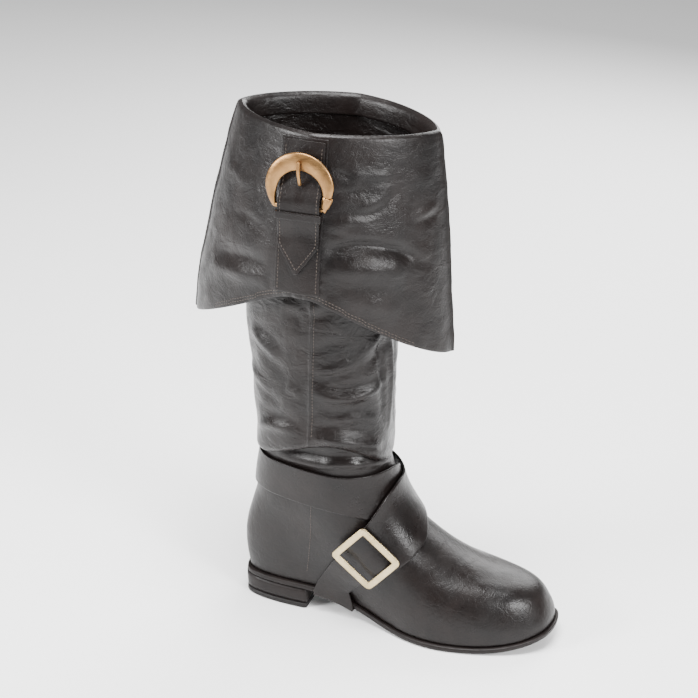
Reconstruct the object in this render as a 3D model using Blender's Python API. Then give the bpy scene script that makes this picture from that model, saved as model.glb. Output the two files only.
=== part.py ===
"""A tall bucket-top boot for the right foot, in metres, +Z up.

The origin is the middle of the heel's bottom face, on the floor. +X points to the toe and +Y to
the inner side of the foot, so the buckles are on the -Y side and the zip is on the +Y side.
"""

import math

import bmesh
import bpy
import numpy as np
from mathutils import Vector
from mathutils.bvhtree import BVHTree

# Sole unit
FOOT_LENGTH = 0.296
BALL_WIDTH = 0.106
HEEL_LENGTH = 0.067
HEEL_HEIGHT = 0.0205
LIFT_THICKNESS = 0.005
SOLE_THICKNESS = 0.006
SOLE_EDGE_BEVEL = 0.0011
TOE_SPRING = 0.0145
TREAD_START = 0.545
TREAD_END = 0.752
SOLE_MARGIN = 0.0032
HEEL_TAPER = 0.0012
TOE_SWING = 0.004
INSOLE_THICKNESS = 0.003

# Upper and leg
UPPER_WALL = 0.002
ANKLE_RISE = 0.174
ANKLE_FOLD_AT = 0.7494
SHAFT_WALL = 0.002
LEG_RISE = 0.3101
LEG_WIDTH = 0.118
SEAM_RIDGE = 0.0011
SEAM_RIDGE_WIDTH = 0.0036
TURN_IN = 0.010

# Place of the side seam, its station along every section of the leg, the room kept clear of other
# stations, and the powers that lean and round the lip's rise over the sides of the ankle
SEAM_X = 0.0405
LIP_LEAN = 1.7
LIP_POWER = 0.7
SEAM_AT = 0.52
SEAM_CLEAR = 0.03

# Cuff, the turned-down top of the leg
CUFF_WALL = 0.0018
CUFF_FOLD_RISE = 0.0012
CUFF_SWING_BACK = 0.0375
CUFF_SWING_FRONT = 0.0185
CUFF_FLARE_OUTER = 0.018
CUFF_FLARE_INNER = 0.013
CUFF_FLANGE = 0.0026
CUFF_FLANGE_WIDTH = 0.0030
CUFF_DROP_BACK = 0.191
CUFF_DROP_FRONT = 0.190
CUFF_DROP_OUTER = 0.131
CUFF_DROP_INNER = 0.183

# Shape of the cuff's skirt: how far along each side its hem slopes to the side's own drop, and the
# powers of its hem, of its flare from the rim down, of its flare round the side and of its swing
HEM_SLOPE_OUTER = 0.42
HEM_SLOPE_INNER = 0.30
HEM_POWER = 0.9
FLARE_POWER = 1.4
SIDE_POWER = 0.5
SWING_POWER = 1.3

# Harness straps round the ankle and under the arch, and their plain rectangular buckle
STRAP_THICKNESS = 0.002
STEEPEST_FACE = 0.35
TAUT_PASSES = 3
CLEAR_PASSES = 6
ARCH_REAR = 0.253
ARCH_FRONT = 0.382
BUCKLE_WIDTH = 0.0485
BUCKLE_LENGTH = 0.0435
BUCKLE_BAND = 0.0060
BUCKLE_THICKNESS = 0.0022
BUCKLE_CORNER = 0.0050
BUCKLE_BAR_RADIUS = 0.0011
BUCKLE_BAR_REACH = 0.0165
BUCKLE_BUMP_FLAT = 0.0058
BUCKLE_BUMP_REACH = 0.013

# Strap and crescent buckle on the cuff
CUFF_STRAP_X = 0.0365
CUFF_STRAP_WIDTH = 0.0385
CUFF_STRAP_END_WIDTH = 0.0356
CUFF_STRAP_THICKNESS = 0.0016
CUFF_STRAP_DROP = 0.112
CUFF_STRAP_POINT = 0.024
CRESCENT_RADIUS = 0.0290
CRESCENT_EYE_RADIUS = 0.0198
CRESCENT_HORN = 0.0150
CRESCENT_CHORD = 0.0195
CRESCENT_BAR = 0.0040
CRESCENT_THICKNESS = 0.0040
CRESCENT_BAR_THICKNESS = 0.0025
CRESCENT_DROP = 0.0395
PRONG_RADIUS = 0.0017
PRONG_LENGTH = 0.0205
KEEPER_HEIGHT = 0.0062
KEEPER_THICKNESS = 0.0012

# Zip on the inner side
ZIP_X = 0.0205
ZIP_WIDTH = 0.011
ZIP_THICKNESS = 0.0012
ZIP_BOTTOM_RISE = 0.012
ZIP_TOP_DROP = 0.150
SLIDER_WIDTH = 0.0085
SLIDER_LENGTH = 0.0120
SLIDER_THICKNESS = 0.0034
SLIDER_EDGE = 0.0006
PULL_WIDTH = 0.0060
PULL_LENGTH = 0.0200
PULL_THICKNESS = 0.0014
PULL_EDGE = 0.0004

# Clearances between curved pieces and between flat faces that touch in the real boot
CLEARANCE = 0.0004
FLAT_GAP = 0.0003
NESTED_GAP = 0.0009

FOOT_HALF_COLUMNS = 18
FOOT_RINGS = 22
LEG_HALF_COLUMNS = 15
SOLE_HALF_COLUMNS = 18
STRAP_COLUMNS_ACROSS = 5
HEEL_COLUMNS = 9
CRESCENT_COLUMNS = 28
PLAIN_STRAP_STEPS = 34
BUCKLED_STRAP_STEPS = 32
CUFF_STRAP_STEPS = 22
ZIP_STEPS = 36

# Where the rear, waist and ball widths of a foot section lie, as shares of the foot's length
REAR_AT, WAIST_AT, BALL_AT = 0.15, 0.36, 0.66

# One row a section of the foot, from the feather line to the collar inside the ankle fold. Lengths
# along x are shares of the foot's length, rises are shares of the ankle rise above the sole's seat,
# bend is how far the section follows the sole's curve, widths are shares of half the ball's width,
# and the last two columns say how square the ends are.
FOOT_COLUMNS = (
    "back", "back_rise", "front", "front_rise", "bend",
    "rear_out", "waist_out", "ball_out", "rear_in", "waist_in", "ball_in", "back_n", "front_n",
)
FOOT_SECTIONS = (
    (0.011, 0.000, 0.988, 0.000, 1.00, 0.575, 0.535, 1.060, 0.575, 0.450, 0.900, 4.0, 2.60),
    (0.003, 0.063, 0.984, 0.050, 0.96, 0.610, 0.600, 1.070, 0.605, 0.560, 0.920, 3.9, 2.60),
    (-0.004, 0.144, 0.966, 0.115, 0.88, 0.635, 0.680, 1.050, 0.625, 0.640, 0.920, 3.7, 2.50),
    (-0.006, 0.217, 0.935, 0.190, 0.72, 0.650, 0.760, 0.970, 0.635, 0.710, 0.870, 3.5, 2.40),
    (-0.002, 0.276, 0.883, 0.215, 0.52, 0.660, 0.800, 0.900, 0.645, 0.760, 0.820, 3.3, 2.20),
    (0.004, 0.328, 0.818, 0.214, 0.34, 0.670, 0.825, 0.855, 0.655, 0.780, 0.790, 3.1, 2.10),
    (0.011, 0.372, 0.747, 0.238, 0.20, 0.680, 0.840, 0.845, 0.665, 0.795, 0.780, 2.9, 2.10),
    (0.018, 0.418, 0.673, 0.280, 0.10, 0.695, 0.855, 0.840, 0.670, 0.805, 0.785, 2.7, 2.15),
    (0.026, 0.464, 0.605, 0.338, 0.04, 0.710, 0.870, 0.850, 0.680, 0.820, 0.800, 2.55, 2.25),
    (0.031, 0.510, 0.541, 0.411, 0.00, 0.720, 0.885, 0.870, 0.690, 0.835, 0.820, 2.45, 2.30),
    (0.033, 0.562, 0.497, 0.517, 0.00, 0.720, 0.890, 0.880, 0.690, 0.840, 0.830, 2.40, 2.35),
    (0.037, 0.631, 0.460, 0.647, 0.00, 0.720, 0.900, 0.900, 0.690, 0.850, 0.850, 2.30, 2.40),
    (0.045, 0.711, 0.441, 0.752, 0.00, 0.730, 0.905, 0.905, 0.700, 0.855, 0.855, 2.30, 2.40),
    (0.056, 0.830, 0.434, 0.850, 0.00, 0.760, 0.890, 0.890, 0.730, 0.845, 0.845, 2.30, 2.40),
    (0.058, 1.000, 0.433, 1.000, 0.00, 0.770, 0.885, 0.885, 0.740, 0.840, 0.840, 2.30, 2.40),
)

# One row a section of the leg above its turned-in edge, from the lowest line of the ankle fold up
# to the top. Rises are shares of the leg's rise above the ankle's fold, side_rise lifts the sides of
# a section over its ends, and widths are shares of half the leg's width.
LEG_COLUMNS = ("back", "back_rise", "front", "front_rise", "side_rise", "out", "in", "back_n", "front_n")
LEG_SECTIONS = (
    (0.0440, 0.0000, 0.4450, -0.0090, 0.0900, 0.885, 0.825, 2.25, 2.30),
    (0.0345, 0.0142, 0.4560, 0.0110, 0.0860, 0.965, 0.865, 2.20, 2.30),
    (0.0400, 0.0710, 0.4540, 0.0980, 0.0400, 0.970, 0.875, 2.20, 2.20),
    (0.0260, 0.1506, 0.4530, 0.1818, 0.0085, 0.955, 0.885, 2.20, 2.15),
    (0.0190, 0.2159, 0.4530, 0.2443, 0.0000, 0.980, 0.900, 2.20, 2.15),
    (0.0080, 0.3040, 0.4500, 0.3324, 0.0000, 0.970, 0.905, 2.15, 2.10),
    (-0.0050, 0.4034, 0.4470, 0.4290, 0.0000, 0.985, 0.920, 2.10, 2.05),
    (-0.0110, 0.5170, 0.4510, 0.5341, 0.0000, 1.000, 0.935, 2.00, 1.95),
    (-0.0180, 0.6378, 0.4650, 0.6477, 0.0000, 1.025, 0.955, 1.90, 1.85),
    (-0.0250, 0.7656, 0.4900, 0.7670, 0.0000, 1.060, 0.985, 1.75, 1.75),
    (-0.0310, 0.8864, 0.5200, 0.8750, 0.0000, 1.090, 1.010, 1.65, 1.65),
    (-0.0350, 1.0000, 0.5430, 0.9773, 0.0057, 1.110, 1.030, 1.58, 1.58),
)

# Edges of the harness straps: angles round the ankle's upright axis (0 is the toe's side, -90 the
# outer side) and heights as shares of the ankle rise above the sole's seat, for the strap's upper or
# rear edge and for its lower or front edge.
ANKLE_AXIS = 0.253
STRAP_COLUMNS = ("high_angle", "high", "low_angle", "low")
BUCKLED_STRAP = (
    (107, 0.716, 107, 0.530),
    (88, 0.716, 88, 0.530),
    (68, 0.716, 68, 0.526),
    (49, 0.700, 50, 0.508),
    (31, 0.664, 35, 0.476),
    (13, 0.638, 19, 0.440),
    (-7, 0.652, 4, 0.404),
    (-24, 0.614, -12, 0.352),
    (-35, 0.541, -22, 0.292),
    (-44, 0.451, -30, 0.228),
    (-53, 0.345, -36, 0.164),
    (-63, 0.235, -40, 0.105),
    (-71, 0.150, -42.5, 0.055),
    (-80, 0.075, -44.5, 0.010),
)
BUCKLE_ROW = 9.45
PLAIN_STRAP = (
    (80, 0.075, 44.5, 0.010),
    (71, 0.150, 42.5, 0.055),
    (62, 0.235, 40, 0.105),
    (52, 0.345, 36, 0.170),
    (42, 0.480, 31, 0.245),
    (28, 0.600, 24, 0.330),
    (10, 0.680, 12, 0.390),
    (-8, 0.712, -4, 0.426),
    (-25, 0.722, -22, 0.455),
    (-42, 0.722, -40, 0.492),
    (-60, 0.722, -60, 0.520),
    (-80, 0.722, -80, 0.524),
    (-104, 0.722, -104, 0.526),
    (-130, 0.722, -130, 0.528),
    (-155, 0.722, -155, 0.528),
    (-180, 0.722, -180, 0.528),
    (-205, 0.722, -205, 0.528),
    (-231, 0.722, -231, 0.528),
)

LEATHER = ((0.020, 0.014, 0.013), 0.42, 0.0)
LEATHER_STRAP = ((0.024, 0.017, 0.016), 0.38, 0.0)
SOLE_BROWN = ((0.026, 0.018, 0.015), 0.50, 0.0)
TOP_PIECE = ((0.010, 0.008, 0.008), 0.65, 0.0)
LINING = ((0.055, 0.045, 0.040), 0.80, 0.0)
ZIP_BLACK = ((0.008, 0.008, 0.009), 0.60, 0.0)
ANTIQUE_GOLD = ((0.62, 0.40, 0.20), 0.38, 1.0)
PALE_GOLD = ((0.76, 0.66, 0.46), 0.42, 1.0)

for old in list(bpy.data.objects):
    bpy.data.objects.remove(old, do_unlink=True)
boot = bpy.data.collections.new("boot")
bpy.context.scene.collection.children.link(boot)


def finish(name, look):
    """The material of one piece: colour, roughness and metallic value."""
    colour, roughness, metallic = look
    material = bpy.data.materials.new(name)
    material.use_nodes = True
    shader = material.node_tree.nodes["Principled BSDF"]
    shader.inputs["Base Color"].default_value = (*colour, 1.0)
    shader.inputs["Roughness"].default_value = roughness
    shader.inputs["Metallic"].default_value = metallic
    return material


def smooth_line(low, high, value):
    """The share of the way from low to high, kept between 0 and 1."""
    return min(max((value - low) / (high - low), 0.0), 1.0)


def smooth(low, high, value):
    """0 below low, 1 above high, with an even ease between them."""
    share = smooth_line(low, high, value)
    return share * share * (3 - 2 * share)


def row_at(columns, rows, place):
    """A row of a table between its own rows, on a smooth curve through them, as a dictionary."""
    table = np.array(rows, dtype=float)
    last = len(table) - 1
    index = min(int(place), last - 1)
    before, start = table[max(index - 1, 0)], table[index]
    end, after = table[index + 1], table[min(index + 2, last)]
    t = place - index
    values = 0.5 * (
        2 * start
        + (end - before) * t
        + (2 * before - 5 * start + 4 * end - after) * t * t
        + (3 * start - before - 3 * end + after) * t ** 3
    )
    return dict(zip(columns, values))


def solid(name, look, loops, rungs=None):
    """A closed solid skinned over closed loops of points.

    With rungs, which pair the points across a loop, the first and last loops are capped by strips
    of four-sided faces. Without them the last loop is joined to the first.
    """
    mesh = bpy.data.meshes.new(name)
    shape = bmesh.new()
    rows = [[shape.verts.new(point) for point in loop] for loop in loops]
    count = len(rows[0])
    pairs = list(zip(rows, rows[1:]))
    if rungs is None:
        pairs.append((rows[-1], rows[0]))
    for low, high in pairs:
        for i in range(count):
            j = (i + 1) % count
            shape.faces.new((low[i], low[j], high[j], high[i]))
    if rungs is not None:
        for row in (rows[0], rows[-1]):
            for (a, b), (c, d) in zip(rungs, rungs[1:]):
                corners = list(dict.fromkeys((row[a], row[c], row[d], row[b])))
                shape.faces.new(corners)
    bmesh.ops.recalc_face_normals(shape, faces=shape.faces)
    shape.to_mesh(mesh)
    shape.free()
    mesh.shade_smooth()
    mesh.set_sharp_from_angle(angle=math.radians(40))
    mesh.materials.append(finish(name, look))
    piece = bpy.data.objects.new(name, mesh)
    boot.objects.link(piece)
    return piece


def grid_normals(grid, closed):
    """Unit normals of a grid of points, by rows and columns. Closed grids wrap round their rows."""
    grid = np.asarray(grid)
    along = np.gradient(grid, axis=0)
    if closed:
        across = (np.roll(grid, -1, axis=1) - np.roll(grid, 1, axis=1)) / 2
    else:
        across = np.gradient(grid, axis=1)
    normals = np.cross(along, across)
    return normals / np.linalg.norm(normals, axis=2, keepdims=True)


def shell(name, look, rings, wall, raised=None):
    """A tube of leather: its outer face through the rings, and its inner face a wall behind it."""
    outer = np.asarray(rings, dtype=float)
    normals = grid_normals(outer, closed=True)
    middle = outer.mean(axis=1, keepdims=True)
    widest = len(outer) // 2
    if ((outer - middle) * normals)[widest].sum() < 0:
        normals = -normals
    inner = outer - normals * wall
    if raised is not None:
        outer = outer + normals * np.asarray(raised)[:, :, None]
    return solid(name, look, [*outer, *inner[::-1]])


def strip(name, look, under, thickness, outward):
    """A strap: its under face through a grid of points, and its outer face a thickness away."""
    under = np.asarray(under, dtype=float)
    normals = grid_normals(under, closed=False)
    if (normals * np.asarray(outward)).sum() < 0:
        normals = -normals
    outer = under + normals * thickness
    loops = [[*low, *high[::-1]] for low, high in zip(under, outer)]
    across = under.shape[1]
    rungs = [(j, 2 * across - 1 - j) for j in range(across)]
    return solid(name, look, loops, rungs)


def surface(*pieces):
    """The faces of some pieces, ready to be met by a straight line."""
    return [
        BVHTree.FromPolygons([v.co for v in piece.data.vertices], [p.vertices for p in piece.data.polygons])
        for piece in pieces
    ]


def meet(trees, start, direction):
    """The first point on the pieces along a line, with the face's normal."""
    hits = [tree.ray_cast(Vector(start), Vector(direction)) for tree in trees]
    hits = [hit for hit in hits if hit[0] is not None]
    if not hits:
        return None, None
    first = min(hits, key=lambda hit: hit[3])
    return np.array(first[0]), np.array(first[1])


# Plan and side lines of the sole


def along(share):
    """A place along the foot, from a share of its length ahead of the heel's back."""
    return FOOT_LENGTH * share - HEEL_LENGTH / 2


def sole_bottom(x):
    """Height of the sole's lower face: heel seat, arch, flat tread and toe spring."""
    breast = HEEL_LENGTH / 2
    start, end, toe = along(TREAD_START), along(TREAD_END), along(1.0)
    if x <= start:
        return HEEL_HEIGHT * (1 + math.cos(math.pi * smooth_line(breast, start, x))) / 2
    if x <= end:
        return 0.0
    return TOE_SPRING * min((x - end) / (toe - end), 1.0) ** 2


def seat_height():
    """Height of the sole's upper face at the heel."""
    return HEEL_HEIGHT + SOLE_THICKNESS


def fold_height():
    """Height of the ankle fold's lowest line, where the leg starts."""
    return seat_height() + ANKLE_FOLD_AT * ANKLE_RISE


def swing(x):
    """How far the middle line turns to the inner side towards the toe."""
    return TOE_SWING * smooth(along(0.55), along(1.0), x)


def end_shape(share, back_n, front_n):
    """Width of a section at a share of its length, 1 at its middle and 0 at its rounded ends."""
    n = back_n if share < 0.5 else front_n
    return max(1 - abs(2 * share - 1) ** n, 0.0) ** (1 / n)


def foot_width(x, side, row):
    """Half-width of a foot section at x, before its ends are rounded."""
    name = "out" if side < 0 else "in"
    rear, waist, ball = row["rear_" + name], row["waist_" + name], row["ball_" + name]
    share = rear + (waist - rear) * smooth(along(REAR_AT), along(WAIST_AT), x)
    share = share + (ball - waist) * smooth(along(WAIST_AT), along(BALL_AT), x)
    return share * BALL_WIDTH / 2


def even_shares(count):
    """Shares from 0 to 1, closer together at both ends."""
    return [(1 - math.cos(math.pi * k / count)) / 2 for k in range(count + 1)]


def both_sides(shares):
    """Stations of a ring: out along the outer side and home along the inner side."""
    return [(-1, s) for s in shares] + [(1, s) for s in shares[-2:0:-1]]


def foot_ring(row, grow=0.0, half_columns=FOOT_HALF_COLUMNS):
    """One section of the foot, its outline moved outwards by grow."""
    back, front = along(row["back"]) - grow, along(row["front"]) + grow
    points = []
    for side, share in both_sides(even_shares(half_columns)):
        x = back + (front - back) * share
        width = (foot_width(x, side, row) + grow) * end_shape(share, row["back_n"], row["front_n"])
        rise = (row["back_rise"] + (row["front_rise"] - row["back_rise"]) * share) * ANKLE_RISE
        bent = row["bend"] * (sole_bottom(x) - HEEL_HEIGHT)
        points.append((x, side * width + swing(x), seat_height() + rise + bent))
    return points


FEATHER = dict(zip(FOOT_COLUMNS, FOOT_SECTIONS[0]))
COLLAR = dict(zip(FOOT_COLUMNS, FOOT_SECTIONS[-1]))


def sole_ring(grow, level, shares, end=None):
    """The sole's outline moved outwards by grow, at the height that level gives for each x.

    With an end, the outline stops there with a straight edge across.
    """
    back, front = along(FEATHER["back"]) - SOLE_MARGIN - grow, along(FEATHER["front"]) + SOLE_MARGIN + grow
    reach = front if end is None else end
    sides = both_sides(shares) if end is None else [(-1, s) for s in shares] + [(1, s) for s in shares[:0:-1]]
    points = []
    for side, share in sides:
        x = back + (reach - back) * share
        place = (x - back) / (front - back)
        width = foot_width(x, side, FEATHER) + SOLE_MARGIN + grow
        width = width * end_shape(place, FEATHER["back_n"], FEATHER["front_n"])
        points.append((x, side * width + swing(x), level(x)))
    return points


def rungs_of(shares, blunt=False):
    """Pairs of points across a ring. A blunt ring has two points at its front end."""
    count = 2 * len(shares) - (1 if blunt else 2)
    return [(k, (count - k) % count) for k in range(len(shares))]


def sole_plate(name, look, levels, shares, end=None):
    """A plate over the sole's outline, from a list of outline growths and height functions."""
    loops = [sole_ring(grow, level, shares, end) for grow, level in levels]
    return solid(name, look, loops, rungs_of(shares, end is not None))


# Outsole, heel, top piece and insole

outsole_levels = (
    (-SOLE_EDGE_BEVEL, sole_bottom),
    (0.0, lambda x: sole_bottom(x) + SOLE_EDGE_BEVEL),
    (0.0, lambda x: sole_bottom(x) + SOLE_THICKNESS - SOLE_EDGE_BEVEL),
    (-SOLE_EDGE_BEVEL, lambda x: sole_bottom(x) + SOLE_THICKNESS),
)
outsole = sole_plate("outsole", SOLE_BROWN, outsole_levels, even_shares(SOLE_HALF_COLUMNS))

heel_shares = [1 - math.cos(math.pi / 2 * k / HEEL_COLUMNS) for k in range(HEEL_COLUMNS + 1)]
heel_breast = HEEL_LENGTH / 2
heel_levels = (
    (-HEEL_TAPER, lambda x: LIFT_THICKNESS + FLAT_GAP),
    (-HEEL_TAPER / 3, lambda x: HEEL_HEIGHT - FLAT_GAP),
)
sole_plate("heel_block", SOLE_BROWN, heel_levels, heel_shares, heel_breast)

top_piece_levels = (
    (-HEEL_TAPER * 2, lambda x: 0.0),
    (-HEEL_TAPER, lambda x: HEEL_TAPER / 2),
    (-HEEL_TAPER, lambda x: LIFT_THICKNESS),
)
sole_plate("heel_top_piece", TOP_PIECE, top_piece_levels, heel_shares, heel_breast)

insole_inset = -(SOLE_MARGIN + UPPER_WALL + INSOLE_THICKNESS / 2)
insole_levels = (
    (insole_inset, lambda x: sole_bottom(x) + SOLE_THICKNESS + FLAT_GAP),
    (insole_inset, lambda x: sole_bottom(x) + SOLE_THICKNESS + FLAT_GAP + INSOLE_THICKNESS),
)
sole_plate("insole", LINING, insole_levels, even_shares(SOLE_HALF_COLUMNS))

# Foot upper, open at its feather line and at its collar

foot_places = np.linspace(0, len(FOOT_SECTIONS) - 1, FOOT_RINGS)
foot_rings = [foot_ring(row_at(FOOT_COLUMNS, FOOT_SECTIONS, place)) for place in foot_places]
foot_rings = np.array(foot_rings) + (0, 0, CLEARANCE)
foot_upper = shell("foot_upper", LEATHER, foot_rings, UPPER_WALL)

# Leg shaft: its lower edge turned in against the collar, its top under the cuff's fold


def leg_ring(row, stations):
    """One section of the leg, its stations eased along so that the side seam stays upright."""
    back, front = along(row["back"]), along(row["front"])
    seam = (SEAM_X - back) / (front - back)
    behind, before = seam / SEAM_AT, (1 - seam) / (1 - SEAM_AT)
    shares = [s * behind if s < SEAM_AT else 1 - (1 - s) * before for s in stations]
    points = []
    for side, share in both_sides(shares):
        x = back + (front - back) * share
        width = row["out" if side < 0 else "in"] * LEG_WIDTH / 2
        width = width * end_shape(share, row["back_n"], row["front_n"])
        rise = row["back_rise"] + (row["front_rise"] - row["back_rise"]) * share
        rise = rise + row["side_rise"] * math.sin(math.pi * share ** LIP_LEAN) ** LIP_POWER
        points.append((x, side * width, fold_height() + rise * LEG_RISE))
    return points


def turned_in_ring(shares):
    """The leg's hidden lower edge, a small gap outside the collar and higher than the fold."""
    fold = dict(zip(LEG_COLUMNS, LEG_SECTIONS[0]))
    collar = surface(foot_upper)
    points = []
    for x, y, z in leg_ring(fold, shares):
        centre = Vector((along(ANKLE_AXIS), 0.0, z + TURN_IN))
        aim = (Vector((x, y, z + TURN_IN)) - centre).normalized()
        met, _ = meet(collar, centre + aim * FOOT_LENGTH, -aim)
        points.append(Vector(met) + aim * NESTED_GAP)
    return points


leg_shares = even_shares(LEG_HALF_COLUMNS)
leg_shares = [s for s in leg_shares if abs(s - SEAM_AT) > SEAM_CLEAR]
seam_step = SEAM_RIDGE_WIDTH / 2 / (FOOT_LENGTH * (LEG_SECTIONS[5][2] - LEG_SECTIONS[5][0]))
leg_shares = sorted(leg_shares + [SEAM_AT - seam_step, SEAM_AT, SEAM_AT + seam_step])
seam_column = leg_shares.index(SEAM_AT)

leg_places = [0, 0.5, 1, 1.5, 2, 2.5, 3, 3.5, 4, 5, 6, 7, 8, 9, 10, 11]
leg_rows = [row_at(LEG_COLUMNS, LEG_SECTIONS, place) for place in leg_places]
leg_rings = [turned_in_ring(leg_shares)] + [leg_ring(row, leg_shares) for row in leg_rows]
leg_raised = np.zeros(np.array(leg_rings).shape[:2])
leg_raised[3:-4, seam_column] = SEAM_RIDGE
leg_shaft = shell("leg_shaft", LEATHER, leg_rings, SHAFT_WALL, leg_raised)

# Cuff: a facing inside the leg's top, a rolled rim over its edge, and the wide hanging skirt


def grown(ring, distance, lift=0.0):
    """A ring moved outwards in plan, square to its outline, and lifted."""
    ring = np.asarray(ring, dtype=float)
    turn = np.roll(ring, -1, axis=0) - np.roll(ring, 1, axis=0)
    normals = np.stack([turn[:, 1], -turn[:, 0], np.zeros(len(ring))], axis=1)
    normals = normals / np.linalg.norm(normals, axis=1, keepdims=True)
    if (normals * (ring - ring.mean(axis=0))).sum() < 0:
        normals = -normals
    return ring + normals * distance + (0, 0, lift)


def hem_share(side, share):
    """How much of the side's drop the hem has at a place along it; the corners keep their own."""
    reach = HEM_SLOPE_OUTER if side < 0 else HEM_SLOPE_INNER
    return smooth_line(0.0, reach, min(share, 1 - share)) ** HEM_POWER


cuff_top = row_at(LEG_COLUMNS, LEG_SECTIONS, len(LEG_SECTIONS) - 1)
cuff_stations = both_sides(leg_shares)
facing_gap = SHAFT_WALL + CLEARANCE + CUFF_WALL
skirt_gap = CLEARANCE + CUFF_WALL
rim = leg_ring(cuff_top, leg_shares)
facing_row = row_at(LEG_COLUMNS, LEG_SECTIONS, len(LEG_SECTIONS) - 1.5)
facing_inset = facing_gap + 2 * NESTED_GAP

# The roll over the leg's edge, from the facing to the skirt: growths and lifts of the leg's top line
rolled_rim = (
    (-facing_inset, -CUFF_WALL / 2),
    (-facing_gap * 4 / 5, skirt_gap),
    (-facing_gap / 4, skirt_gap + CUFF_FOLD_RISE),
    (skirt_gap * 3 / 4, skirt_gap * 9 / 10),
    (skirt_gap + CLEARANCE, -CUFF_WALL / 2),
)
cuff_rings = [grown(leg_ring(facing_row, leg_shares), -facing_inset)]
cuff_rings = cuff_rings + [grown(rim, growth, lift) for growth, lift in rolled_rim]
skirt_start = cuff_rings[-1]


def skirt_ring(share):
    """A ring of the skirt, a share of the way from the rim to the hem."""
    ring = []
    out_by = 1 - (1 - share) ** FLARE_POWER
    for (side, place), start in zip(cuff_stations, skirt_start):
        back = max(1 - 2 * place, 0.0) ** SWING_POWER
        front = max(2 * place - 1, 0.0) ** SWING_POWER
        flare = CUFF_FLARE_OUTER if side < 0 else CUFF_FLARE_INNER
        level = CUFF_DROP_OUTER if side < 0 else CUFF_DROP_INNER
        ends = CUFF_DROP_BACK + (CUFF_DROP_FRONT - CUFF_DROP_BACK) * place
        drop = ends + (level - ends) * hem_share(side, place)
        aside = flare * math.sin(math.pi * place) ** SIDE_POWER * out_by
        ahead = (CUFF_SWING_FRONT * front - CUFF_SWING_BACK * back) * out_by
        ring.append(start + np.array((ahead, side * aside, -drop * share)))
    return ring


skirt_shares = [0.10, 0.22, 0.35, 0.48, 0.61, 0.74, 0.87, 1.0]
cuff_rings = cuff_rings + [skirt_ring(share) for share in skirt_shares]


def with_flange(ring, amount):
    """A ring with a narrow seam edge standing out at its back and front."""
    points = [np.array(point) for point in ring]
    half = len(points) // 2
    step = np.array((0.0, CUFF_FLANGE_WIDTH / 2, 0.0))
    back, front = points[0], points[half]
    out = np.array((amount, 0.0, 0.0))
    return [back - out, back - step, *points[1:half], front - step, front + out, front + step,
            *points[half + 1:], back + step]


def cuff_shell():
    """The cuff with the seam edges left off its hidden inner face."""
    plain = np.array([with_flange(ring, 0.0) for ring in cuff_rings])
    amounts = [0.0] * 4 + [CUFF_FLANGE / 3, CUFF_FLANGE * 2 / 3] + [CUFF_FLANGE] * len(skirt_shares)
    edged = np.array([with_flange(ring, amount) for ring, amount in zip(cuff_rings, amounts)])
    normals = grid_normals(np.array(cuff_rings), closed=True)
    half = len(cuff_rings[0]) // 2
    order = [0, 0, *range(1, half), half, half, half, *range(half + 1, 2 * half), 0]
    normals = normals[:, order]
    middle = plain[-1].mean(axis=0)
    if ((plain[-1] - middle) * normals[-1]).sum() < 0:
        normals = -normals
    inner = plain - normals * CUFF_WALL
    return solid("cuff", LEATHER, [*edged, *inner[::-1]])


cuff = cuff_shell()

# Straps laid on what they cross


def reach_of(trees, foot, aim):
    """How far the pieces stand from a line's foot, with a clearance square to their face."""
    point, normal = meet(trees, foot + aim * FOOT_LENGTH, -aim)
    if point is None:
        return 0.0
    slope = max(abs(float(np.dot(normal, aim))), STEEPEST_FACE)
    return float(np.dot(point - foot, aim)) + CLEARANCE / slope


def laid(rows, base, crossed=None):
    """A grid of points on the ankle, a clearance off the base and what it crosses, pulled taut."""
    axis = np.array((along(ANKLE_AXIS), 0.0, 0.0))
    across = STRAP_COLUMNS_ACROSS
    aims, reach, over = [], np.zeros((len(rows), across)), np.zeros((len(rows), across))
    for i, row in enumerate(rows):
        line = []
        for j in range(across):
            share = j / (across - 1)
            angle = math.radians(row["high_angle"] + (row["low_angle"] - row["high_angle"]) * share)
            height = seat_height() + (row["high"] + (row["low"] - row["high"]) * share) * ANKLE_RISE
            aim = np.array((math.cos(angle), math.sin(angle), 0.0))
            foot = axis + (0.0, 0.0, height)
            reach[i, j] = reach_of(base, foot, aim)
            if crossed is not None:
                over[i, j] = max(reach_of(crossed, foot, aim) - reach[i, j], 0.0)
            line.append((foot, aim))
        aims.append(line)
    padded = np.pad(over, 1, mode="edge")
    windows = [padded[a:a + len(rows), b:b + across] for a in range(3) for b in range(3)]
    reach = reach + np.max(windows, axis=0)
    tight = reach.copy()
    for _ in range(TAUT_PASSES):
        padded = np.pad(tight, 1, mode="edge")
        around = (padded[:-2, 1:-1] + padded[2:, 1:-1] + padded[1:-1, :-2] + padded[1:-1, 2:]) / 4
        tight = np.maximum(tight, around)
    return [[foot + aim * r for (foot, aim), r in zip(line, radii)] for line, radii in zip(aims, tight)]


CELL_SAMPLES = [(a / 4, b / 4) for a in range(5) for b in range(5)]


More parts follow.
